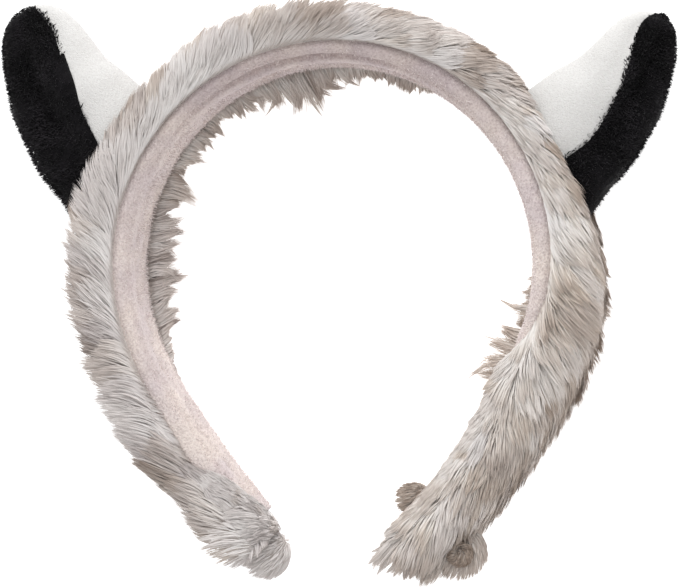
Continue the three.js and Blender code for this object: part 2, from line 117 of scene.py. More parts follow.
# The padded lining along the band: how far it swells inwards and how deep its lengthwise crease is.
LINING_TABLE = table(
    "at swell crease",
    (0, 2.4, 0.1),
    (0.05, 3.0, 0.2),
    (0.11, 2.2, 0.2),
    (0.16, 0.4, 0.3),
    (0.25, 0, 0.3),
    (0.36, 0, 0.4),
    (0.42, 0, 1.2),
    (0.5, 0.2, 1.5),
    (0.56, 0.8, 0.5),
    (0.62, 1.2, 0.2),
    (0.72, 1.2, 0.2),
    (0.8, 0.2, 0.2),
    (1, 0, 0.1),
)
CREASE_ANGLE = 136
CREASE_SPREAD = 7
RIDGE = {"past": 20, "spread": 10, "share": 0.7}  # the rounded ridge beside the crease
SWELL_SPAN = 34  # degrees past the front seam
EDGE_TUCK = 0.9  # how far the lining's edges are drawn in at the seams
WRINKLES = table("height scale flatten", (0.22, 9, 2), (0.1, 3, 1))

# Rounded tufts by the ends: out is the distance from the inner face, high is above the floor, past is beyond
# the place along the band, comb is the heading of the hair seen from above, swirl is how far it curls, and
# the last column is painted shade: how much darker its very top is, where the hair whorls inwards.
PUFFS = table(
    "at out high past radius pile tone hue comb swirl spot",
    (0, 6.2, 9, 1.8, 5.6, 5.5, 0.74, 0.1, 212, 0.1, 0),
    (0.966, -3.2, 12, 0, 3.5, 4.5, 0.4, 0.9, 200, 0.15, 0),
    (0.972, 17, 10, 0, 6.4, 5.5, 0.56, 0.8, 262, 0.2, 0.45),
    (0.974, 18.6, 15.5, 0, 2.4, 3.4, 0.2, 1, 250, 0.6, 0),
)
PUFF_FLATNESS = 0.8
WHORL_SHADE_SPREAD = 0.12

# The tufts that stand out of the two ends: toward is -1 or 1 along the band, splay is how they fan out,
# outward is how far they turn away from the head, and gain is the pile that each millimetre inwards adds.
ENDS = table(
    "at toward splay outward pile gain tone hue",
    (0.004, -1, 0.06, 1.3, 6, 0, 0.6, 0.05),
    (0.996, 1, 0.03, 0.3, 14, 0.5, 0.7, 0.4),
)

# How many hairs each piece is given.
STRETCH_HAIRS = 28000
BACK_HAIRS = 20000
END_HAIRS = 2200
PUFF_SHARE = 0.6  # a rounded tuft's hairs as a share of an end's
LINING_HAIRS = 16000
EAR_HAIRS = 13000
BACK_LOCKS = 300

# The stretches of long fur along the band.
STRETCHES = [("fur_left", (0, 0.36)), ("fur_crown", (0.36, 0.64)), ("fur_right", (0.64, 1))]

# The long fur.
FUR_LENGTH = 15
FUR_GIRTH = 66  # how far the fur's backing reaches round the tube
FUR_FROM = -97  # where it starts, in degrees; it ends at the front seam
FULL_COVER = 140  # the cover at which all of the hair would grow past the front seam
SKIN_SHARE = 0.85  # the visible backing lies this far up the undercoat
ROOT_SHARE = 0.8 * SKIN_SHARE
LOCK_AREA = 34  # square millimetres of backing to a lock
STRAND_WIDE = 0.32
STRAND_ROWS = (0.0, 0.25, 0.52, 0.78, 1.0)
STRAND_PROFILE = (0.8, 1.0, 0.9, 0.6)
FUZZ_PROFILE = (1.0, 0.8)  # of the short pile on the lining and the ears
LINING_HAIR_WIDE = 0.3
LOCK_CURVE = 1.4  # above 1, the hairs of a lock stay apart near their roots
WISP_CURVE = 1.3
OUTER_LEAN = {"root": 45, "tip": 91}  # degrees from the normal on the outer side
EDGE_LEAN = {"root": 17, "tip": 4}  # and how many more at the front and back edges
EDGE_FROM = 35
EDGE_SPAN = 50
PATCH_SEED = 11
PATCH_SCALE = 16
PATCH_SPREAD = 0.15  # millimetres to a degree round the tube
INNER_LENGTH = {"left": 0.6, "right": 0.72}  # of the hair past the front seam, as a share of the pile
INNER_DARKER = 0.06

# The long fur is combed away from a parting at the front seam and from another on the outer side.
SEAM_PART_FROM = 60
SEAM_PART = FRONT_SEAM + 7
SEAM_PART_SPAN = 14
OUTER_PART_SPAN = 25
OUTER_PART_LEAN = 0.35
LEFT_LEG_END = 0.3
LEFT_LEG_SIDE = 0.7

# The tufts at the back edge, which show inside the hoop.
OVERHANG = 15
BACK_TUFT_FROM = 222
BACK_TUFT_TO = 262
BACK_ROWS = (0.0, 0.3, 0.65, 1.0)
BACK_PROFILE = (0.9, 1.0, 0.7)
BACK_TURN = 14  # degrees that they are combed towards the right end
BACK_PATCH_SEED = 5
BACK_PATCH_SCALE = 13
LONG_WISPS = 0.07  # the share of locks that are drawn out to thin wisps
LONG_WISP_LENGTH = 1.4

# The least heights above the floor.
LOWEST_HAIR = 0.25
LOWEST_ROOT = 0.4
LOWEST_BACKING = 0.1
LOWEST_LINING = 0.15

# A hair's place in its UV: u has a band for each tint with the tone across it, and v runs from root to tip.
HUES = 4
BAND_MARGIN = 0.1  # of a band, at each side
UV_HALF = 0.003  # half of a hair's width in u
ROOT_V = 0.04

# An ear from base to tip: wide and deep are shares of the ear's own, shift moves the section away from the
# crown, seam is the front seam's angle, and fold is a share of FOLD_DEPTH. Angles round an ear are in
# degrees: 0 faces the crown and 90 faces up.
EAR_TABLE = table(
    "at wide deep shift seam fold",
    (0, 0.96, 1, 0.085, 102, 0.5),
    (0.2, 1, 1, 0.11, 100, 0.9),
    (0.38, 0.9, 0.95, 0.145, 93, 1),
    (0.53, 0.79, 0.88, 0.18, 83, 1),
    (0.67, 0.68, 0.78, 0.175, 75, 0.9),
    (0.8, 0.58, 0.66, 0.16, 69, 0.7),
    (0.9, 0.44, 0.52, 0.155, 66, 0.4),
    (0.965, 0.28, 0.34, 0.16, 66, 0.1),
    (1, 0.09, 0.13, 0.165, 66, 0),
)
EAR_LENGTH = 58
EAR_WIDE = 42
EAR_DEEP = 25
EAR_CENTRE = 0.483 * BODY_WIDE
EAR_ROOT_RADIUS = HEAD_RADIUS + BODY_THICK - 5  # the ears are rooted this far from the crown's centre
EAR_BACK_SEAM = 262
FOLD_DEPTH = 4
FOLD_ANGLE = 122
FOLD_SPREAD = 20
SEAM_DIP = 0.9
SEAM_SPREAD = 13
SEAM_OVERLAP = 0.6  # the panels reach past the seam into each other, so that no slit shows
EAR_ROOTED = -0.3  # how far below its base an ear still keeps the fur off, as a share of its length
ROOT_CLEARANCE = 0.6
BARE_CLEARANCE = 0.45
FREE_SPAN = 0.3
LEAST_FREE = 0.35
EAR_PILE = {"length": 1.9, "width": 0.36, "tone": 0.45, "rise": 0.8}
EAR_PATCHES = {"tone": 0.28, "scale": 9}
PILE_FROM = -0.22  # the ears' pile starts below the base, inside the fur, and is denser towards the tip
PILE_CROWDING = 0.85
BLACK_RIPPLE = 0.5
WHITE_RIPPLE = 0.3
RIPPLE_SCALE = 16
BLACK_REACH = 0.985  # the black panel stops just short of the white one's tip

# The two ears: place is in degrees from the crown, tilt leans the ear away from it and turn rolls its seam.
# Length, wide and deep are shares of EAR_LENGTH, EAR_WIDE and EAR_DEEP, and blunt widens the tip. Bare is how
# far the fur keeps off the ear, and shift is how many degrees its seam bows towards the black panel.
EARS = table(
    "side hand place tilt turn length wide deep blunt bare shift",
    ("left", -1, 64, 30, -10, 1.06, 1.04, 1.02, 0.07, 0.3, 0),
    ("right", 1, 62, 34, 1, 0.957, 0.96, 0.98, -0.04, 0.8, 14),
)

# The camera looks down from nearly above: its leans are in degrees, and it aims a little beside the crown's
# centre.
CAMERA_DISTANCE = 810
CAMERA_LEAN_X = 9.0
CAMERA_LEAN_Y = 3.0
CAMERA_LENS = 134.84
AIM_HEIGHT = 14
AIM_RIGHT = 0.95
AIM_UP = -9.4
SENSOR_WIDTH = 36

# The stage, in metres and watts.
FLOOR_SIZE = 6
WHITE = (1, 1, 1, 1)
FLOOR_GREY = 0.9
FLOOR_GLOW = 0.75
WORLD_LIGHT = 0.68
LIGHTS = table(
    "name place size power",
    ("key", (-0.05, 1.0, 0.85), 0.8, 9.5),
    ("fill", (0.1, -0.3, 1.2), 0.9, 1.0),
)

SHEEN_ROUGHNESS = 0.5
# How fast the painted shade on the lining deepens towards the crown.
CROWN_PAINTED_SHADE_RATE = 12  # to a metre
STEADY_SEED = 7
PLASTIC_NUMBER = 1.324717957244746  # its powers scatter points evenly over a plane
UP = np.array([0.0, 0.0, 1.0])


def lookup(rows, column, at):
    """A column of a table at any place, on a smooth curve through its rows."""
    places = np.array([row["at"] for row in rows], float)
    values = np.array([row[column] for row in rows], float)
    slopes = np.gradient(values, places)
    at = np.clip(np.asarray(at, float), places[0], places[-1])
    i = np.clip(np.searchsorted(places, at, side="left"), 1, len(places) - 1)
    step = places[i] - places[i - 1]
    t = (at - places[i - 1]) / step
    from_value = values[i - 1] * (1 + 2 * t) * (1 - t) ** 2 + slopes[i - 1] * step * t * (1 - t) ** 2
    to_value = values[i] * t * t * (3 - 2 * t) + slopes[i] * step * t * t * (t - 1)
    return from_value + to_value


def in_plane(degrees):
    """Level directions at angles from +X."""
    radians = np.radians(degrees)
    return np.stack([np.cos(radians), np.sin(radians), np.zeros_like(radians)], -1)


def unit(vectors):
    return vectors / np.maximum(np.linalg.norm(vectors, axis=-1, keepdims=True), 1e-9)


def spine(share):
    """The inner face's line: points, outward directions and directions towards the right tip."""
    s = np.asarray(share, float) * PATH_LENGTH
    joint = 90 + CROWN_SWEEP / 2
    base = np.clip(joint - np.degrees((s - LEG_LENGTH) / HEAD_RADIUS), joint - CROWN_SWEEP, joint)
    left_turn = np.degrees(np.maximum(0, LEG_LENGTH - s) / LEG_RADIUS)
    right_turn = np.degrees(np.maximum(0, s - LEG_LENGTH - CROWN_LENGTH) / LEG_RADIUS)
    angle = base + left_turn - right_turn
    point = HEAD_RADIUS * in_plane(base) + LEG_RADIUS * (in_plane(angle) - in_plane(base))
    outward = in_plane(angle)
    along = np.stack([outward[..., 1], -outward[..., 0], outward[..., 2]], -1)
    return point, outward, along


class Section:
    """The tube's sections at an array of shares of the path."""

    def __init__(self, share):
        share = np.asarray(share, float)
        point, outward, self.along = spine(share)
        thick, wide, twist = (lookup(BODY_TABLE, key, share) for key in ("thick", "wide", "twist"))
        to_tip = np.minimum(share, 1 - share) * PATH_LENGTH
        missing = np.clip(1 - to_tip / TIP_ROUND, 0, 1)
        narrowing = TIP_NARROWEST + (1 - TIP_NARROWEST) * np.sqrt(1 - missing**2)
        cos, sin = np.cos(np.radians(twist))[..., None], np.sin(np.radians(twist))[..., None]
        self.outward = outward
        self.out = outward * cos + UP * sin
        self.up = UP * cos - outward * sin
        rise = BODY_WIDE / 2 * wide - FLAT_DEPTH
        self.middle = point + outward * (BODY_THICK / 2) + UP * rise[..., None]
        self.half_thick = BODY_THICK / 2 * thick * narrowing
        self.half_wide = BODY_WIDE / 2 * wide * narrowing
        self.undercoat = UNDERCOAT * lookup(FUR_TABLE, "pile", share) * narrowing

    def point(self, phi, grow=0.0):
        """Points of the outline at the angles phi, moved out by grow."""
        cos, sin = np.cos(np.radians(phi)), np.sin(np.radians(phi))
        power = 2 / BODY_SQUARENESS
        x = (self.half_thick + grow) * np.sign(cos) * np.abs(cos) ** power
        y = (self.half_wide + grow) * np.sign(sin) * np.abs(sin) ** power
        return self.middle + self.out * x[..., None] + self.up * y[..., None]

    def fluff(self, phi, cover):
        """A share of the undercoat's height, which is greatest at 0 degrees and nothing from 90 on."""
        return cover * self.undercoat * np.sqrt(np.maximum(0, np.cos(np.radians(phi))))

    def skin(self, phi, cover=SKIN_SHARE):
        """Points at a share of the undercoat's height."""
        return self.point(phi, self.fluff(phi, cover))

    def core(self, phi):
        """Points of the backing, which is sunk where the lining lies over it."""
        bed = np.clip(np.minimum(phi - FRONT_SEAM, BACK_SEAM - phi) / BED_SPAN, 0, 1)
        grow = self.fluff(phi, SKIN_SHARE)
        return self.point(phi, grow - bed * (LINING_WALL + LINING_BED) - BACKING_INSET)

    def frame(self, phi):
        """The hairs' roots, the directions in which phi falls, and outward normals."""
        root = self.skin(phi, ROOT_SHARE)
        falling = unit(self.skin(phi - SLOPE_STEP) - self.skin(phi + SLOPE_STEP))
        normal = unit(np.cross(self.along, falling))
        return root, falling, normal


def spread(count, offset=0.0):
    """Evenly scattered pairs of numbers from 0 to 1."""
    i = np.arange(count) + offset
    return (0.5 + i * (1 / PLASTIC_NUMBER)) % 1, (0.5 + i * (1 / PLASTIC_NUMBER**2)) % 1


def lining_swell(share, phi):
    """How far the lining swells inwards, which grows from nothing at the front seam."""
    rise = np.clip((phi - FRONT_SEAM) / SWELL_SPAN, 0, 1)
    return lookup(LINING_TABLE, "swell", share) * rise * rise * (3 - 2 * rise)


def even_angles(shares, phi_from, phi_to):
    """Angles round a typical section, spaced by distance along its outline."""
    angles = np.linspace(phi_from, phi_to, 400)
    section = Section(np.full(angles.shape, TYPICAL_PLACE))
    steps = np.linalg.norm(np.diff(section.skin(angles), axis=0), axis=1)
    distance = np.concatenate([[0], np.cumsum(steps)])
    return np.interp(shares * distance[-1], distance, angles)


def smooth_noise(rng, points, scale):
    """Soft random values from about -1 to 1 over points, changing over a distance of about scale."""
    waves = 24
    directions = unit(rng.normal(size=(waves, points.shape[1])))
    rates = 2 * math.pi / scale * rng.uniform(0.4, 1.2, waves)
    phases = rng.uniform(0, 2 * math.pi, waves)
    total = np.zeros(len(points))
    for direction, rate, phase in zip(directions, rates, phases):
        total += np.sin(points @ direction * rate + phase)
    return total * math.sqrt(2 / waves)


def to_scene(points):
    """Millimetres round the crown's centre to metres in the part's frame."""
    return (points + np.array([*CROWN_CENTRE, 0.0])) * MM


def make_mesh(name, points, triangles, uv=None):
    """A smooth mesh object from arrays, with an optional place in UV for each vertex."""
    mesh = bpy.data.meshes.new(name)
    mesh.vertices.add(len(points))
    mesh.vertices.foreach_set("co", to_scene(points).astype(np.float32).ravel())
    mesh.loops.add(triangles.size)
    mesh.loops.foreach_set("vertex_index", triangles.astype(np.int32).ravel())
    mesh.polygons.add(len(triangles))
    mesh.polygons.foreach_set("loop_start", np.arange(0, triangles.size, 3, dtype=np.int32))
    mesh.update(calc_edges=True)
    mesh.shade_smooth()
    if uv is not None:
        layer = mesh.uv_layers.new(name="OFBake")
        layer.uv.foreach_set("vector", uv[triangles.ravel()].astype(np.float32).ravel())
    made = bpy.data.objects.new(name, mesh)
    bpy.context.scene.collection.objects.link(made)
    return made


class Strands:
    """Hairs, each from a root, with a direction at the root and one at the tip."""

    def __init__(self, root, normal, start, end, length, tone, hue):
        self.root, self.normal = root, normal
        self.start, self.end = unit(start), unit(end)
        self.length, self.tone, self.hue = length, tone, hue

    def picked(self, which):
        """The strands that a mask or an array of numbers picks out."""
        values = (self.root, self.normal, self.start, self.end, self.length, self.tone, self.hue)
        return Strands(*(value[which] for value in values))

    def at(self, t):
        """Points a share t of the way up each strand."""
        t = np.asarray(t, float)
        bend = self.start * t[..., None] + (self.end - self.start) * (t[..., None] ** 2 / 2)
        return self.root + bend * self.length[:, None]

    def rows(self, shares):
        """Points of every strand at the same shares of its length."""
        return np.stack([self.at(share) for share in shares], 1)


def gathered(strands, locks, owner, pinch, rows):
    """Points of the strands at each row, drawn together towards the tips of the locks that own them."""
    lead = locks.picked(owner)
    points = []
    for t in rows:
        reach = np.clip(t * strands.length / lead.length, 0, 1)
        weight = (pinch * reach**LOCK_CURVE)[:, None]
        points.append(strands.at(t) * (1 - weight) + lead.at(reach) * weight)
    return np.stack(points, 1)


def tufted(points, rng, places, hairs, pinch):
    """Points of the strands, drawn together into fine wisps of so many hairs each."""
    leads = rng.choice(len(points), max(1, int(len(points) / hairs)), replace=False)
    owner = leads[owners(places, places[leads])]
    reach = np.linspace(0, 1, points.shape[1])[None, :, None] ** WISP_CURVE * pinch
    offset = (points[owner] - points) * reach
    return points + offset


def ribbons(name, points, strands, width, profile, roll):
    """Flat tapering hairs through the strands' rows of points, as one mesh."""
    count, rows = points.shape[:2]
    tangent = unit(np.gradient(points, axis=1))
    side = unit(np.cross(tangent, strands.normal[:, None, :]))
    lift = np.cross(side, tangent)
    angle = roll[:, None, None]
    across = side * np.cos(angle) + lift * np.sin(angle)
    half = width[:, None, None] / 2 * np.asarray(profile)[None, :, None]
    left = points[:, :-1] - across[:, :-1] * half
    right = points[:, :-1] + across[:, :-1] * half
    pairs = np.stack([left, right], 2).reshape(count, -1, 3)
    vertices = np.concatenate([pairs, points[:, -1:]], 1)
    vertices[..., 2] = np.maximum(vertices[..., 2], LOWEST_HAIR)
    faces = []
    for row in range(rows - 2):
        a = 2 * row
        faces += [(a, a + 1, a + 3), (a, a + 3, a + 2)]
    last = 2 * (rows - 2)
    faces.append((last, last + 1, last + 2))
    per = vertices.shape[1]
    triangles = (np.arange(count) * per)[:, None, None] + np.array(faces)[None]
    hue_band = np.clip(np.round(strands.hue * (HUES - 1)), 0, HUES - 1)
    u = (hue_band + BAND_MARGIN + (1 - 2 * BAND_MARGIN) * np.clip(strands.tone, 0, 1)) / HUES
    v = np.repeat(np.linspace(ROOT_V, 1 - ROOT_V, rows), 2)[:-1]
    edge = np.where(np.arange(per) % 2 == 0, -1.0, 1.0) * UV_HALF
    edge[-1] = 0
    uv = np.stack([u[:, None] + edge[None], np.broadcast_to(v, (count, per))], -1)
    return make_mesh(name, vertices.reshape(-1, 3), triangles.reshape(-1, 3), uv.reshape(-1, 2))


def widths(rng, count, mean=STRAND_WIDE):
    """The hairs' widths, which differ a little."""
    return mean * rng.uniform(0.7, 1.3, count)


def bristles(name, strands, middle, width, roll):
    """Short straight hairs, with one more row of points at a middle share of their length."""
    return ribbons(name, strands.rows((0, middle, 1)), strands, width, FUZZ_PROFILE, roll)


def owners(places, lock_places):
    """The nearest lock to each strand, by place on the backing."""
    tree = KDTree(len(lock_places))
    for i, place in enumerate(lock_places):
        tree.insert(place, i)
    tree.balance()
    return np.array([tree.find(place)[1] for place in places])


# Ears


def ear_axes(ear):
    """An ear's direction, the level direction across it towards the crown, and the middle of its base."""
    upward = 90 - ear["hand"] * ear["tilt"]
    axis = in_plane(upward)
    crownward = in_plane(upward + ear["hand"] * 90)
    base = in_plane(90 - ear["hand"] * ear["place"]) * (HEAD_RADIUS + BODY_THICK)
    return axis, crownward, base + UP * EAR_CENTRE


def dip(depth, angle, middle, spread_by):
    """A smooth dip that is deepest at its middle."""
    return depth * np.exp(-(((angle - middle) / spread_by) ** 2))


def ear_section(ear, at):
    """An ear's section: its half sizes, its shift towards the crown, the front seam's angle and the fold."""
    wide = ear["wide"] * EAR_WIDE
    half_wide = wide / 2 * (lookup(EAR_TABLE, "wide", at) + ear["blunt"] * at)
    half_deep = ear["deep"] * EAR_DEEP / 2 * lookup(EAR_TABLE, "deep", at)
    shift = (ear["blunt"] / 2 * at - lookup(EAR_TABLE, "shift", at)) * wide
    seam = lookup(EAR_TABLE, "seam", at) + ear["turn"]
    return half_wide, half_deep, shift, seam, lookup(EAR_TABLE, "fold", at)


def ear_point(ear, at, psi, grow=0.0):
    """Points of an ear's surface at a share of its length and at angles round its section."""
    axis, crownward, base = ear_axes(ear)
    half_wide, half_deep, shift, seam, fold = ear_section(ear, at)
    seam_places = (seam, EAR_BACK_SEAM, EAR_BACK_SEAM - FULL_TURN)
    seams = np.maximum.reduce([dip(SEAM_DIP, psi, middle, SEAM_SPREAD) for middle in seam_places])
    pressed = dip(FOLD_DEPTH * fold, psi, FOLD_ANGLE + ear["turn"] / 2, FOLD_SPREAD) + seams
    fullness = np.minimum(1, 4 * half_wide / (ear["wide"] * EAR_WIDE))
    off = grow - pressed * fullness
    across = (half_wide + off) * np.cos(np.radians(psi)) + shift
    rise = (half_deep + off) * np.sin(np.radians(psi))
    length = ear["length"] * EAR_LENGTH
    point = base + axis * (at * length)[..., None]
    return point + crownward * across[..., None] + UP * rise[..., None]


def ear_depth(ear, points):
    """How deep points are inside an ear: below 1 is inside."""
    axis, crownward, base = ear_axes(ear)
    offset = points - base
    at = offset @ axis / (ear["length"] * EAR_LENGTH)
    half_wide, half_deep, shift, _, _ = ear_section(ear, np.clip(at, 0, 1))
    ratio = np.hypot((offset @ crownward - shift) / half_wide, offset[..., 2] / half_deep)
    return np.where((at > EAR_ROOTED) & (at < 1), ratio, np.inf)


def clear_of_ears(points):
    """Shortens strands that would run into an ear, and tells which are rooted clear of both."""
    keep = np.ones(len(points), bool)
    for ear in EARS:
        keep &= ear_depth(ear, points[:, 0]) > ROOT_CLEARANCE + BARE_CLEARANCE * ear["bare"]
        depths = np.stack([ear_depth(ear, points[:, row]) for row in range(points.shape[1])], 1)
        free = np.clip((depths.min(1) - ear["bare"]) / FREE_SPAN, LEAST_FREE, 1)
        points = points[:, :1] + (points - points[:, :1]) * free[:, None, None]
    return points, keep


def closed_loft(name, grid):
    """A closed body through rings of points, with a fan over each end."""
    rings, sides = grid.shape[:2]
    here = np.arange(rings * sides).reshape(rings, sides)
    following = np.roll(here, -1, axis=1)
    a, b, c, d = here[:-1], following[:-1], here[1:], following[1:]
    first_middle = np.full(sides, rings * sides)
    triangles = np.concatenate([
        np.stack([a, b, d], -1).reshape(-1, 3),
        np.stack([a, d, c], -1).reshape(-1, 3),
        np.stack([first_middle, following[0], here[0]], -1),
        np.stack([here[-1], following[-1], first_middle + 1], -1),
    ])
    points = np.concatenate([grid.reshape(-1, 3), grid[[0, -1]].mean(1)])
    corners = points[triangles]
    volume = np.einsum("ij,ij->i", corners[:, 0], np.cross(corners[:, 1], corners[:, 2])).sum()
    return make_mesh(name, points, triangles if volume > 0 else triangles[:, ::-1])


# Materials


def srgb(red, green, blue):
    """Linear colour from the 0 to 255 values of a screen."""
    channels = [c / 255 for c in (red, green, blue)]
    return (*(c / 12.92 if c <= 0.04045 else ((c + 0.055) / 1.055) ** 2.4 for c in channels), 1.0)


def set_inputs(node, values):
    for key, value in values.items():
        node.inputs[key].default_value = value


class Shader:
    """A material with one main shader, and short calls for the nodes that feed it."""

    def __init__(self, name, roughness, specular, sheen=0.0):
        self.material = bpy.data.materials.new(name)
        self.material.use_nodes = True
        self.nodes = self.material.node_tree.nodes
        self.links = self.material.node_tree.links
        self.main = self.nodes["Principled BSDF"]
        set_inputs(self.main, {"Roughness": roughness, "Specular IOR Level": specular, "Sheen Weight": sheen,
                               "Sheen Roughness": SHEEN_ROUGHNESS})

    def node(self, kind, inputs=(), **settings):
        """A new node, with its settings and its inputs, each a value or a link."""
        made = self.nodes.new(kind)
        for key, value in settings.items():
            setattr(made, key, value)
        for key, value in dict(inputs).items():
            if isinstance(value, bpy.types.NodeSocket):
                self.links.new(value, made.inputs[key])
            else:
                made.inputs[key].default_value = value
        return made

    def place(self):
        return self.node("ShaderNodeTexCoord").outputs["Object"]

    def noise(self, scale, detail, rough=0.5):
        inputs = {"Vector": self.place(), "Scale": scale, "Detail": detail, "Roughness": rough}
        return self.node("ShaderNodeTexNoise", inputs).outputs["Fac"]

    def math(self, operation, a, b=0.0):
        return self.node("ShaderNodeMath", {0: a, 1: b}, operation=operation).outputs[0]

    def hair_place(self):
        """Which tint and tone a hair has, and how far a point lies from its root."""
        uv = self.node("ShaderNodeUVMap", uv_map="OFBake").outputs["UV"]
        split = self.node("ShaderNodeSeparateXYZ", {"Vector": uv})
        banded = self.math("MULTIPLY", split.outputs["X"], HUES)
        return banded, self.math("FRACT", banded), split.outputs["Y"]

    def ramp(self, value, stops):
        """Colours along a value, from stops that each hold a position and a screen's three values."""
        made = self.node("ShaderNodeValToRGB", {"Fac": value})
        ramp = made.color_ramp
        while len(ramp.elements) < len(stops):
            ramp.elements.new(0.5)
        for element, (position, *screen) in zip(ramp.elements, stops):
            element.position = position
            element.color = srgb(*screen)
        return made.outputs["Color"]

    def mix(self, factor, a, b, blend="MIX"):
        inputs = {"Factor": factor, 6: a, 7: b}
        return self.node("ShaderNodeMix", inputs, data_type="RGBA", blend_type=blend).outputs[2]

    def color(self, value):
        self.links.new(value, self.main.inputs["Base Color"])

    def bump(self, height, distance):
        made = self.node("ShaderNodeBump", {"Height": height, "Distance": distance})
        self.links.new(made.outputs["Normal"], self.main.inputs["Normal"])


def fur_material():
    """Hair coloured by its lock's tone, its tint and the distance from its root: the roots are darkened as
    painted shade, and the tips keep the fur's own pale or brown colour.
    """
    shader = Shader("long_fur", roughness=0.7, specular=0.15, sheen=0.2)
    banded, tone, along = shader.hair_place()
    hue = shader.math("DIVIDE", shader.math("FLOOR", banded), HUES - 1)
    cool = shader.ramp(tone, [
        (0.1, 180, 171, 168), (0.35, 209, 202, 200), (0.65, 230, 225, 223),
        (0.9, 242, 239, 237),
    ])
    warm = shader.ramp(tone, [
        (0.1, 166, 152, 141), (0.35, 203, 192, 183), (0.65, 228, 221, 214),
        (0.9, 241, 237, 232),
    ])
    tinted = shader.mix(hue, cool, warm)
    # Along each hair the darker root stop is painted shade between the hairs; the later stops are the fur's
    # own colour.
    pale = shader.ramp(along, [
        (0.0, 228, 222, 218), (0.3, 255, 255, 255), (1.0, 248, 246, 245),
    ])
    brown = shader.ramp(along, [
        (0.0, 228, 222, 218), (0.3, 255, 255, 255), (0.65, 240, 234, 229),
        (1.0, 196, 182, 172),
    ])
    painted_root_shade_and_tips = shader.mix(hue, pale, brown)
    shader.color(shader.mix(1.0, tinted, painted_root_shade_and_tips, "MULTIPLY"))
    return shader.material


def backing_material():
    """The dense undercoat seen between the locks."""
    shader = Shader("undercoat", roughness=0.9, specular=0.1)
    mottle = shader.ramp(shader.noise(260, 4), [(0.3, 202, 194, 189), (0.7, 224, 218, 213)])
    shader.color(mottle)
    shader.bump(shader.noise(1400, 2), 0.0006)
    return shader.material


def lining_material():
    """Short plush with a fine speckle, and painted shade that greys it a little towards the crown."""
    shader = Shader("lining_plush", roughness=0.85, sheen=0.25, specular=0.15)
    speckle = shader.ramp(shader.noise(1500, 3, 0.65), [
        (0.32, 206, 193, 191), (0.5, 232, 222, 220), (0.7, 242, 234, 231),
    ])
    cloud = shader.ramp(shader.noise(70, 2), [(0.35, 238, 234, 236), (0.65, 255, 252, 247)])
    # Painted shade: the plush greys with height towards the crown, where the lining faces away from the
    # light.
    crown = shader.node("ShaderNodeSeparateXYZ", {"Vector": shader.place()}).outputs["Y"]
    towards_crown = shader.math("MULTIPLY", crown, CROWN_PAINTED_SHADE_RATE)
    painted_crown_shade = shader.ramp(towards_crown, [(0.4, 254, 254, 254), (0.8, 233, 230, 231)])
    plush = shader.mix(1.0, speckle, cloud, "MULTIPLY")
    shader.color(shader.mix(1.0, plush, painted_crown_shade, "MULTIPLY"))
    shader.bump(shader.noise(1300, 3), 0.0005)
    return shader.material


def fuzz_material(name, dark, light, sheen, specular):
    """Short pile that runs from dark to light with each hair's tone."""
    shader = Shader(name, roughness=0.8, sheen=sheen, specular=specular)
    _, tone, _ = shader.hair_place()
    shader.color(shader.ramp(tone, [(0.1, *dark), (0.9, *light)]))
    return shader.material


def plush_material(name, dark, light, scale, bump):
    """The ears' close plush, lightly clouded and uneven."""
    shader = Shader(name, roughness=0.85, sheen=0.1, specular=0.12)
    shader.color(shader.ramp(shader.noise(scale, 4), [(0.35, *dark), (0.65, *light)]))
    shader.bump(shader.noise(scale * 1.5, 3), bump)
    return shader.material


def dress(piece, material, node):
    """Gives a piece its material and the body it rides on, and hides the solid that it replaces."""
    piece.data.materials.append(material)
    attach(piece, "root")
    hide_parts(node)
    return piece


# Fur


def comb_side(share, phi):
    """How hair is combed across the band: 1 is with falling angles and -1 with rising ones."""
    outer = np.clip(phi / OUTER_PART_SPAN + OUTER_PART_LEAN, -1, 1)
    seam = np.clip((SEAM_PART - phi) / SEAM_PART_SPAN, -1, 1)
    seam = np.where(share < LEFT_LEG_END, np.maximum(seam, LEFT_LEG_SIDE), seam)
    return np.where(phi > SEAM_PART_FROM, seam, outer)


def comb_direction(section, falling, normal, sweep, lean, side):
    """The hair's direction: leaning by lean from the normal, combed along the band by sweep."""
    sweep, lean = np.radians(sweep), np.radians(lean)
    across = falling * (np.cos(sweep) * side)[:, None]
    comb = unit(section.along * np.sin(sweep)[:, None] + across)
    return normal * np.cos(lean)[:, None] + comb * np.sin(lean)[:, None]


def outer_strands(rng, share, phi, stray):
    """Strands all over the outer side, and past the front seam over the lining."""
    section = Section(share)
    root, falling, normal = section.frame(phi)
    root = root - section.outward * lining_swell(share, phi)[:, None]
    count = len(share)
    inner = phi > FRONT_SEAM
    left = share < 0.5
    side = comb_side(share, phi)
    root_sweep = lookup(FUR_TABLE, "root", share) + rng.normal(0, stray, count)
    tip_sweep = lookup(FUR_TABLE, "tip", share) + rng.normal(0, stray, count)
    edge = np.clip((np.abs(phi) - EDGE_FROM) / EDGE_SPAN, 0, 1)
    lean_root = OUTER_LEAN["root"] + EDGE_LEAN["root"] * edge + rng.normal(0, stray / 3, count)
    lean_tip = OUTER_LEAN["tip"] + EDGE_LEAN["tip"] * edge + rng.normal(0, stray / 3, count)
    start = comb_direction(section, falling, normal, root_sweep, lean_root, side)
    end = comb_direction(section, falling, normal, tip_sweep, lean_tip, side)
    pile = lookup(FUR_TABLE, "pile", share)
    shorter = np.where(inner, np.where(left, INNER_LENGTH["left"], INNER_LENGTH["right"]), 1)
    length = FUR_LENGTH * pile * rng.uniform(0.92, 1.06, count) * shorter
    round_tube = section.middle + section.out * phi[:, None] * PATCH_SPREAD
    patches = smooth_noise(np.random.default_rng(PATCH_SEED), round_tube, PATCH_SCALE)
    tone = lookup(FUR_TABLE, "tone", share) + (0.24 + 0.2 * share) * (edge - 0.4) + 0.13 * patches
    tone = tone - np.where(inner & left, INNER_DARKER, 0)
    hue = np.clip((share - 0.3) * 1.1, 0.05, 0.5) + 0.35 * (1 - edge) - 0.1 * patches
    return Strands(root, normal, start, end, length, tone, hue)


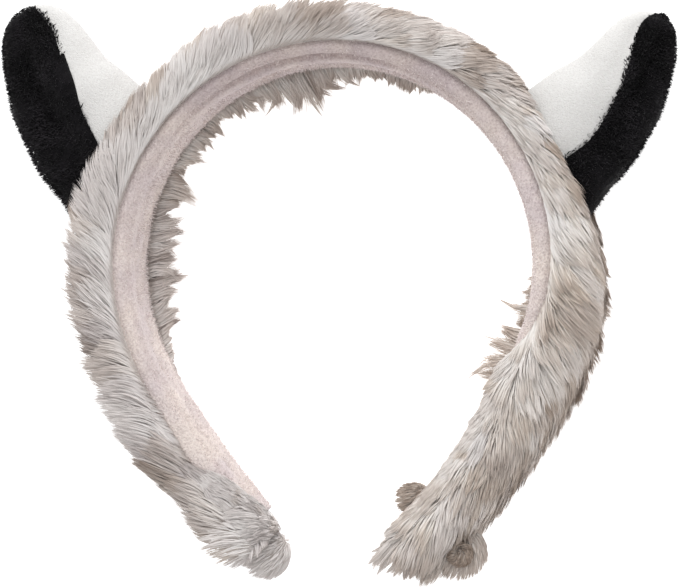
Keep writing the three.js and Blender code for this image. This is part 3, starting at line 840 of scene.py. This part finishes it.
def lock_fur(name, rng, share_range, count):
    """The long fur of one stretch of the band, drawn together into pointed locks."""
    share_from, share_to = share_range
    area = (share_to - share_from) * PATH_LENGTH * FUR_GIRTH
    lock_count = int(area / LOCK_AREA)

    def sampled(number, margin, offset):
        a, b = spread(number, offset)
        share = share_from + (share_to - share_from) * (a * (1 + 2 * margin) - margin)
        share = np.clip(share, 0.002, 0.998)
        phi = even_angles(b, FUR_FROM, FRONT_SEAM)
        cover = lookup(FUR_TABLE, "cover", share)
        past = rng.random(number) < cover / FULL_COVER
        return share, np.where(past, FRONT_SEAM + cover * rng.random(number), phi)

    share, phi = sampled(count, margin=0.0, offset=0.0)
    lock_share, lock_phi = sampled(lock_count, margin=0.01, offset=1000.3)
    strands = outer_strands(rng, share, phi, stray=6)
    locks = outer_strands(rng, lock_share, lock_phi, stray=9)
    locks.tone = locks.tone + rng.normal(0, 0.13, lock_count)
    locks.hue = np.clip(locks.hue + rng.normal(0, 0.18, lock_count), 0, 1)
    where = Section(share).skin(phi)
    owner = owners(where, Section(lock_share).skin(lock_phi))
    strands.length = locks.length[owner] * rng.uniform(0.7, 1.0, count)
    strands.tone = 0.6 * locks.tone[owner] + 0.4 * strands.tone + rng.normal(0, 0.08, count)
    strands.hue = locks.hue[owner]
    points = gathered(strands, locks, owner, rng.uniform(0.2, 0.6, lock_count)[owner], STRAND_ROWS)
    points = tufted(points, rng, where, hairs=5.5, pinch=0.55)
    points, keep = clear_of_ears(points)
    number = keep.sum()
    return ribbons(name, points[keep], strands.picked(keep), widths(rng, number), STRAND_PROFILE,
                   rng.normal(0, 0.3, number))


def puff_centre(puff):
    """The middle of a rounded tuft beside an end."""
    point, outward, along = spine(puff["at"])
    past = -along if puff["at"] < 0.5 else along
    return point + outward * puff["out"] + past * puff["past"] + UP * puff["high"]


def puff_core(name, puff):
    """The dense middle of a rounded tuft."""
    centre = puff_centre(puff)
    latitudes = np.radians(np.linspace(-86, 86, 14))
    around = np.linspace(0, FULL_TURN, 24, endpoint=False)
    rings = [in_plane(around) * math.cos(lat) + UP * PUFF_FLATNESS * math.sin(lat) for lat in latitudes]
    return closed_loft(name, centre + puff["radius"] * np.array(rings))


def end_tuft(rng, end, count):
    """Roots, directions at root and tip, lengths, tones and tints of the hair out of one end."""
    angle = FULL_TURN * rng.random(count)
    section = Section(np.full(count, end["at"]))
    rim = section.point(angle, 1.5)
    root = section.middle + (rim - section.middle) * np.sqrt(rng.random(count))[:, None]
    offset = root - section.middle
    splay = offset * end["splay"] + section.outward * end["outward"]
    tip = section.along * end["toward"]
    at_root = tip + splay * 0.4 + rng.normal(0, 0.12, (count, 3))
    at_tip = tip + splay + rng.normal(0, 0.2, (count, 3))
    inward = -(offset @ section.outward[0])
    length = (end["pile"] + end["gain"] * inward) * rng.uniform(0.6, 1.1, count)
    return root - tip * 2, at_root, at_tip, length, np.full(count, end["tone"]), np.full(count, end["hue"])


def puff_tuft(rng, puff, count):
    """The same for the hair all over one rounded tuft."""
    away = unit(rng.normal(size=(count, 3)))
    curl = np.cross(away, UP) * puff["swirl"]
    comb = in_plane(puff["comb"]) * (1 - puff["swirl"])
    root = puff_centre(puff) + away * puff["radius"] * np.array([1, 1, PUFF_FLATNESS])
    at_root = 0.6 * away + 0.6 * comb + curl
    at_tip = 0.1 * away + comb + 1.2 * curl - 0.15 * UP
    length = puff["pile"] * rng.uniform(0.7, 1.1, count)
    # Painted shade: the hair at the very top of a tuft is darker, in the middle of its whorl.
    tone = puff["tone"] - dip(puff["spot"], away[:, 2], 1, WHORL_SHADE_SPREAD)
    return root, at_root, at_tip, length, tone, np.full(count, puff["hue"])


def end_fur(name, rng, count):
    """Tufts that stand out of the band's two ends, and the rounded tufts beside them."""
    tufts = [end_tuft(rng, end, count) for end in ENDS]
    tufts += [puff_tuft(rng, puff, int(count * PUFF_SHARE)) for puff in PUFFS]
    root, start, end, length, tone, hue = (np.concatenate(parts) for parts in zip(*tufts))
    total = len(root)
    normal = unit(np.cross(start, np.cross(UP, start)) + 1e-3)
    strands = Strands(root, normal, start, end, length, tone + rng.normal(0, 0.12, total), hue)
    points = strands.rows(STRAND_ROWS)
    caps = np.arange(total) < len(ENDS) * count
    points[caps] = tufted(points[caps], rng, root[caps], hairs=60, pinch=0.85)
    points[caps] = tufted(points[caps], rng, root[caps], hairs=12, pinch=0.5)
    points[~caps] = tufted(points[~caps], rng, root[~caps], hairs=5, pinch=0.5)
    return ribbons(name, points, strands, widths(rng, total), STRAND_PROFILE, rng.normal(0, 0.5, total))


def back_strands(rng, share, phi, stray):
    """Strands from the back edge, which lie level and point into the hoop."""
    section = Section(share)
    root = section.point(phi)
    root[:, 2] = np.maximum(root[:, 2], LOWEST_ROOT)
    count = len(share)
    turn = np.radians(rng.normal(0, stray, count) + BACK_TURN)
    flat = -section.outward * np.cos(turn)[:, None] + section.along * np.sin(turn)[:, None]
    start = flat + UP * rng.uniform(0.0, 0.35, count)[:, None]
    end = flat + UP * rng.uniform(-0.1, 0.25, count)[:, None]
    patches = smooth_noise(np.random.default_rng(BACK_PATCH_SEED), section.middle, BACK_PATCH_SCALE)
    reach = np.clip(0.9 + 0.22 * patches, 0.1, 1.3) * rng.uniform(0.7, 1.15, count)
    length = OVERHANG * lookup(FUR_TABLE, "over", share) * reach + 1
    tone = lookup(FUR_TABLE, "tone", share) + 0.14
    hue = np.clip(0.5 + (share - 0.3), 0, 1)
    return Strands(root, np.tile(UP, (count, 1)), start, end, length, tone, hue)


def back_fur(name, rng, count):
    """The tufts at the back edge, which reach over the lining into the head space."""

    def sampled(number, offset):
        a, b = spread(number, offset)
        return np.clip(a, 0.01, 0.99), BACK_TUFT_FROM + (BACK_TUFT_TO - BACK_TUFT_FROM) * b

    strands = back_strands(rng, *sampled(count, 0.0), stray=9)
    locks = back_strands(rng, *sampled(BACK_LOCKS, 500.7), stray=20)
    locks.tone = locks.tone + rng.normal(0, 0.2, BACK_LOCKS)
    wisp = rng.random(BACK_LOCKS) < LONG_WISPS
    locks.length = locks.length * np.where(wisp, LONG_WISP_LENGTH, 1.0)
    owner = owners(strands.root, locks.root)
    strands.length = locks.length[owner] * rng.uniform(0.6, 1.0, count)
    strands.tone = locks.tone[owner] + rng.normal(0, 0.1, count)
    pinch = np.where(wisp, 0.98, rng.uniform(0.5, 0.95, BACK_LOCKS))
    points = gathered(strands, locks, owner, pinch[owner], BACK_ROWS)
    points = tufted(points, rng, strands.root, hairs=8, pinch=0.6)
    return ribbons(name, points, strands, widths(rng, count), BACK_PROFILE, rng.normal(0, 0.5, count))


def backing(name):
    """The tube and its dense undercoat as one closed skin."""
    angles = np.linspace(0, FULL_TURN, 40, endpoint=False)
    section = Section(np.linspace(0, 1, 241))
    grid = np.stack([section.core(phi) for phi in angles], 1)
    grid[..., 2] = np.maximum(grid[..., 2], LOWEST_BACKING)
    return closed_loft(name, grid)


def lining_body(name, rng):
    """The strip of plush round the inside, with a rounded edge at both seams."""
    shares = np.linspace(LINING_STOP, 1 - LINING_STOP, 361)
    outer = np.linspace(FRONT_SEAM - 1, BACK_SEAM + 1, 56)
    inner = outer[::-5]
    section = Section(shares)
    columns = []
    crease = lookup(LINING_TABLE, "crease", shares)
    for k, phi in enumerate(outer):
        edge = min(k, len(outer) - 1 - k) / 4
        tuck = EDGE_TUCK * math.exp(-edge * 1.5)
        ridge = dip(RIDGE["share"], phi, CREASE_ANGLE + RIDGE["past"], RIDGE["spread"])
        fold = dip(1, phi, CREASE_ANGLE, CREASE_SPREAD) - ridge
        columns.append(section.point(phi, -tuck - fold * crease))
    columns += [section.point(phi, -LINING_WALL) for phi in inner]
    grid = np.stack(columns, 1)
    flat = grid.reshape(-1, 3)
    wrinkle = sum(row["height"] * smooth_noise(rng, flat * np.array([1, 1, row["flatten"]]), row["scale"])
                  for row in WRINKLES)
    _, outward, _ = spine(np.repeat(shares, grid.shape[1]))
    angles = np.concatenate([outer, inner])
    swell = lining_swell(np.repeat(shares, grid.shape[1]), np.tile(angles, len(shares)))
    flat = flat - outward * (swell + 0.6 * wrinkle)[:, None] + UP * wrinkle[:, None] * 0.4
    grid = flat.reshape(grid.shape)
    grid[..., 2] = np.maximum(grid[..., 2], LOWEST_LINING)
    return closed_loft(name, grid)


def lining_fuzz(name, rng, count):
    """The short pile of the lining, with painted shade that darkens it towards the crown."""
    a, b = spread(count)
    share = LINING_STOP + (1 - 2 * LINING_STOP) * a
    phi = even_angles(b, FRONT_SEAM, BACK_SEAM)
    section = Section(share)
    root = section.point(phi, -0.2) - section.outward * lining_swell(share, phi)[:, None]
    normal = unit(section.point(phi, 1.0) - section.point(phi, -0.2))
    direction = unit(normal + section.along * rng.normal(0.3, 0.5, count)[:, None]
                     + UP * rng.normal(0, 0.4, count)[:, None])
    length = rng.uniform(0.6, 1.3, count)
    # Painted shade: the pile's tone is lowered round the crown.
    painted_pile_shade = dip(0.35, share, 0.46, 0.2)
    tone = np.clip(rng.normal(0.55, 0.25, count) - painted_pile_shade, 0, 1)
    strands = Strands(root, np.cross(direction, UP), direction, direction, length, tone, np.zeros(count))
    return bristles(name, strands, 0.55, np.full(count, LINING_HAIR_WIDE), rng.uniform(0, math.pi, count))


def ear_panel(name, ear, angles_at, rng, ripple, reach):
    """One padded panel of an ear: its curved face, closed behind by a flat."""
    at = reach * (1 - (1 - np.linspace(0, 1, 60)) ** 1.25)
    sides = 44
    grid = np.array([ear_point(ear, np.full(sides, place), np.linspace(*angles_at(ear, place), sides))
                     for place in at])
    axis, _, _ = ear_axes(ear)
    first = grid[0]
    across = first @ axis
    square = first[:, 0] ** 2 + first[:, 1] ** 2 - EAR_ROOT_RADIUS**2
    grid[0] = first + axis * (np.sqrt(np.maximum(0, across**2 - square)) - across)[:, None]
    flat = grid.reshape(-1, 3)
    middle = np.repeat(grid.mean(1), sides, axis=0)
    wave = ripple * smooth_noise(rng, flat, RIPPLE_SCALE)
    flat = flat + unit(flat - middle) * wave[:, None]
    return closed_loft(name, flat.reshape(grid.shape))


def ear_fuzz(name, ear, angles_at, rng, count):
    """The short pile of one panel of an ear."""
    a, b = spread(count)
    at = PILE_FROM + (1 - PILE_FROM) * a**PILE_CROWDING
    limits = np.array([angles_at(ear, place) for place in at])
    psi = limits[:, 0] + (limits[:, 1] - limits[:, 0]) * b
    showing = np.linalg.norm(ear_point(ear, at, psi)[:, :2], axis=1) > EAR_ROOT_RADIUS + 1
    at, psi = at[showing], psi[showing]
    count = len(at)
    root = ear_point(ear, at, psi, -0.3)
    normal = unit(ear_point(ear, at, psi, 1.0) - root)
    axis, crownward, _ = ear_axes(ear)
    lean = axis * rng.normal(0.35, 0.5, count)[:, None] + crownward * rng.normal(0, 0.5, count)[:, None]
    direction = unit(EAR_PILE["rise"] * normal + lean + UP * rng.normal(0, 0.4, count)[:, None])
    length = EAR_PILE["length"] * rng.uniform(0.6, 1.2, count) * np.clip((1.15 - at) / 0.3, 0.5, 1)
    patches = EAR_PATCHES["tone"] * smooth_noise(rng, root, EAR_PATCHES["scale"])
    tone = np.clip(EAR_PILE["tone"] + patches + rng.normal(0, 0.2, count), 0, 1)
    strands = Strands(root, normal, direction, direction, length, tone, np.zeros(count))
    return bristles(name, strands, 0.6, widths(rng, count, EAR_PILE["width"]), rng.normal(0, 0.5, count))


def seam_angles(ear, place):
    """The front seam's angle at a place along an ear, and by how much the panels reach past it."""
    _, half_deep, _, seam, _ = ear_section(ear, place)
    bow = ear["shift"] * math.sin(math.pi * place)
    return seam + bow, math.degrees(math.atan2(SEAM_OVERLAP / 2, half_deep))


def black_angles(ear, place):
    """Where the black panel starts and stops round the section."""
    seam, past = seam_angles(ear, place)
    return seam - past, EAR_BACK_SEAM + past


def white_angles(ear, place):
    """Where the white panel starts and stops round the section."""
    seam, past = seam_angles(ear, place)
    return EAR_BACK_SEAM - FULL_TURN - past, seam + past


# Stage


def put(name, data, place, rotation):
    """A lamp or a camera at its place."""
    holder = bpy.data.objects.new(name, data)
    holder.location = place
    holder.rotation_mode = "QUATERNION"
    holder.rotation_quaternion = rotation
    bpy.context.scene.collection.objects.link(holder)
    return holder


def floor_and_light():
    """The pale floor, the even light all round and two soft lamps that face the origin."""
    bpy.ops.mesh.primitive_plane_add(size=FLOOR_SIZE, location=(0, 0, 0))
    floor = bpy.context.object
    floor.name = "floor"
    shader = Shader("floor", roughness=0.9, specular=0.0)
    set_inputs(shader.main, {"Base Color": (FLOOR_GREY, FLOOR_GREY, FLOOR_GREY, 1), "Emission Color": WHITE,
                             "Emission Strength": FLOOR_GLOW})
    floor.data.materials.append(shader.material)
    world = bpy.data.worlds.new("studio")
    world.use_nodes = True
    set_inputs(world.node_tree.nodes["Background"], {"Color": WHITE, "Strength": WORLD_LIGHT})
    bpy.context.scene.world = world
    for lamp in LIGHTS:
        light = bpy.data.lights.new(lamp["name"], "AREA")
        light.size = lamp["size"]
        light.energy = lamp["power"]
        put(lamp["name"], light, lamp["place"], Vector(lamp["place"]).to_track_quat("Z", "Y"))


def camera():
    """A camera that leans from straight above the crown's centre and aims a little beside it."""
    lean_x, lean_y = math.radians(CAMERA_LEAN_X), math.radians(CAMERA_LEAN_Y)
    back = Vector((math.sin(lean_x) * math.cos(lean_y), -math.sin(lean_y),
                   math.cos(lean_x) * math.cos(lean_y)))
    target = Vector((*CROWN_CENTRE, AIM_HEIGHT)) * MM
    place = target + back * (CAMERA_DISTANCE * MM)
    right = Vector((0, 1, 0)).cross(back).normalized()
    up = back.cross(right)
    aim = target + right * (AIM_RIGHT * MM) + up * (AIM_UP * MM)
    view = (place - aim).normalized()
    right = Vector((0, 1, 0)).cross(view).normalized()
    up = view.cross(right)
    data = bpy.data.cameras.new("camera")
    data.lens = CAMERA_LENS
    data.sensor_width = SENSOR_WIDTH
    data.clip_start, data.clip_end = 0.01, 20
    rotation = Matrix((right, up, view)).transposed().to_quaternion()
    bpy.context.scene.camera = put("camera", data, place, rotation)


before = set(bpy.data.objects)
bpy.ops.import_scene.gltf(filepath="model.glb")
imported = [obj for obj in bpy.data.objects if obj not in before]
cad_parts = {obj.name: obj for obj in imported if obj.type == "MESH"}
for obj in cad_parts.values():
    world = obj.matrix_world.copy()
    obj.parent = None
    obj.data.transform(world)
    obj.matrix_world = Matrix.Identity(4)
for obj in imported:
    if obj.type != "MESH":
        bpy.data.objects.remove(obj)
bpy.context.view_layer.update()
bpy.context.scene.view_settings.view_transform = "Standard"
rng = np.random.default_rng(STEADY_SEED)

camera()
floor_and_light()

fur = fur_material()
undercoat = backing_material()
dress(backing("fur_backing"), undercoat, "fur_cover")
for name, share_range in STRETCHES:
    dress(lock_fur(name, rng, share_range, STRETCH_HAIRS), fur, "fur_cover")
dress(back_fur("fur_back_edge", rng, BACK_HAIRS), fur, "fur_cover")
dress(end_fur("fur_ends", rng, END_HAIRS), fur, "fur_cover")
for number, puff in enumerate(PUFFS, 1):
    dress(puff_core(f"fur_puff_{number}", puff), undercoat, "fur_cover")

plush = lining_material()
dress(lining_body("lining_strip", rng), plush, "lining")
lining_pile = fuzz_material("lining_pile", (206, 193, 191), (246, 240, 237), sheen=0.2, specular=0.15)
dress(lining_fuzz("lining_fuzz", rng, LINING_HAIRS), lining_pile, "lining")

black = plush_material("black_plush", (4, 3, 5), (18, 16, 19), scale=240, bump=0.001)
white = plush_material("white_plush", (217, 215, 213), (226, 225, 223), scale=1500, bump=0.0004)
black_pile = fuzz_material("black_pile", (4, 3, 5), (38, 35, 39), sheen=0.08, specular=0.2)
for ear in EARS:
    side = ear["side"]
    panel = ear_panel(f"ear_black_{side}_panel", ear, black_angles, rng, BLACK_RIPPLE, BLACK_REACH)
    dress(panel, black, f"ear_black_{side}")
    pile = ear_fuzz(f"ear_black_{side}_pile", ear, black_angles, rng, EAR_HAIRS)
    dress(pile, black_pile, f"ear_black_{side}")
    panel = ear_panel(f"ear_white_{side}_panel", ear, white_angles, rng, WHITE_RIPPLE, reach=1.0)
    dress(panel, white, f"ear_white_{side}")
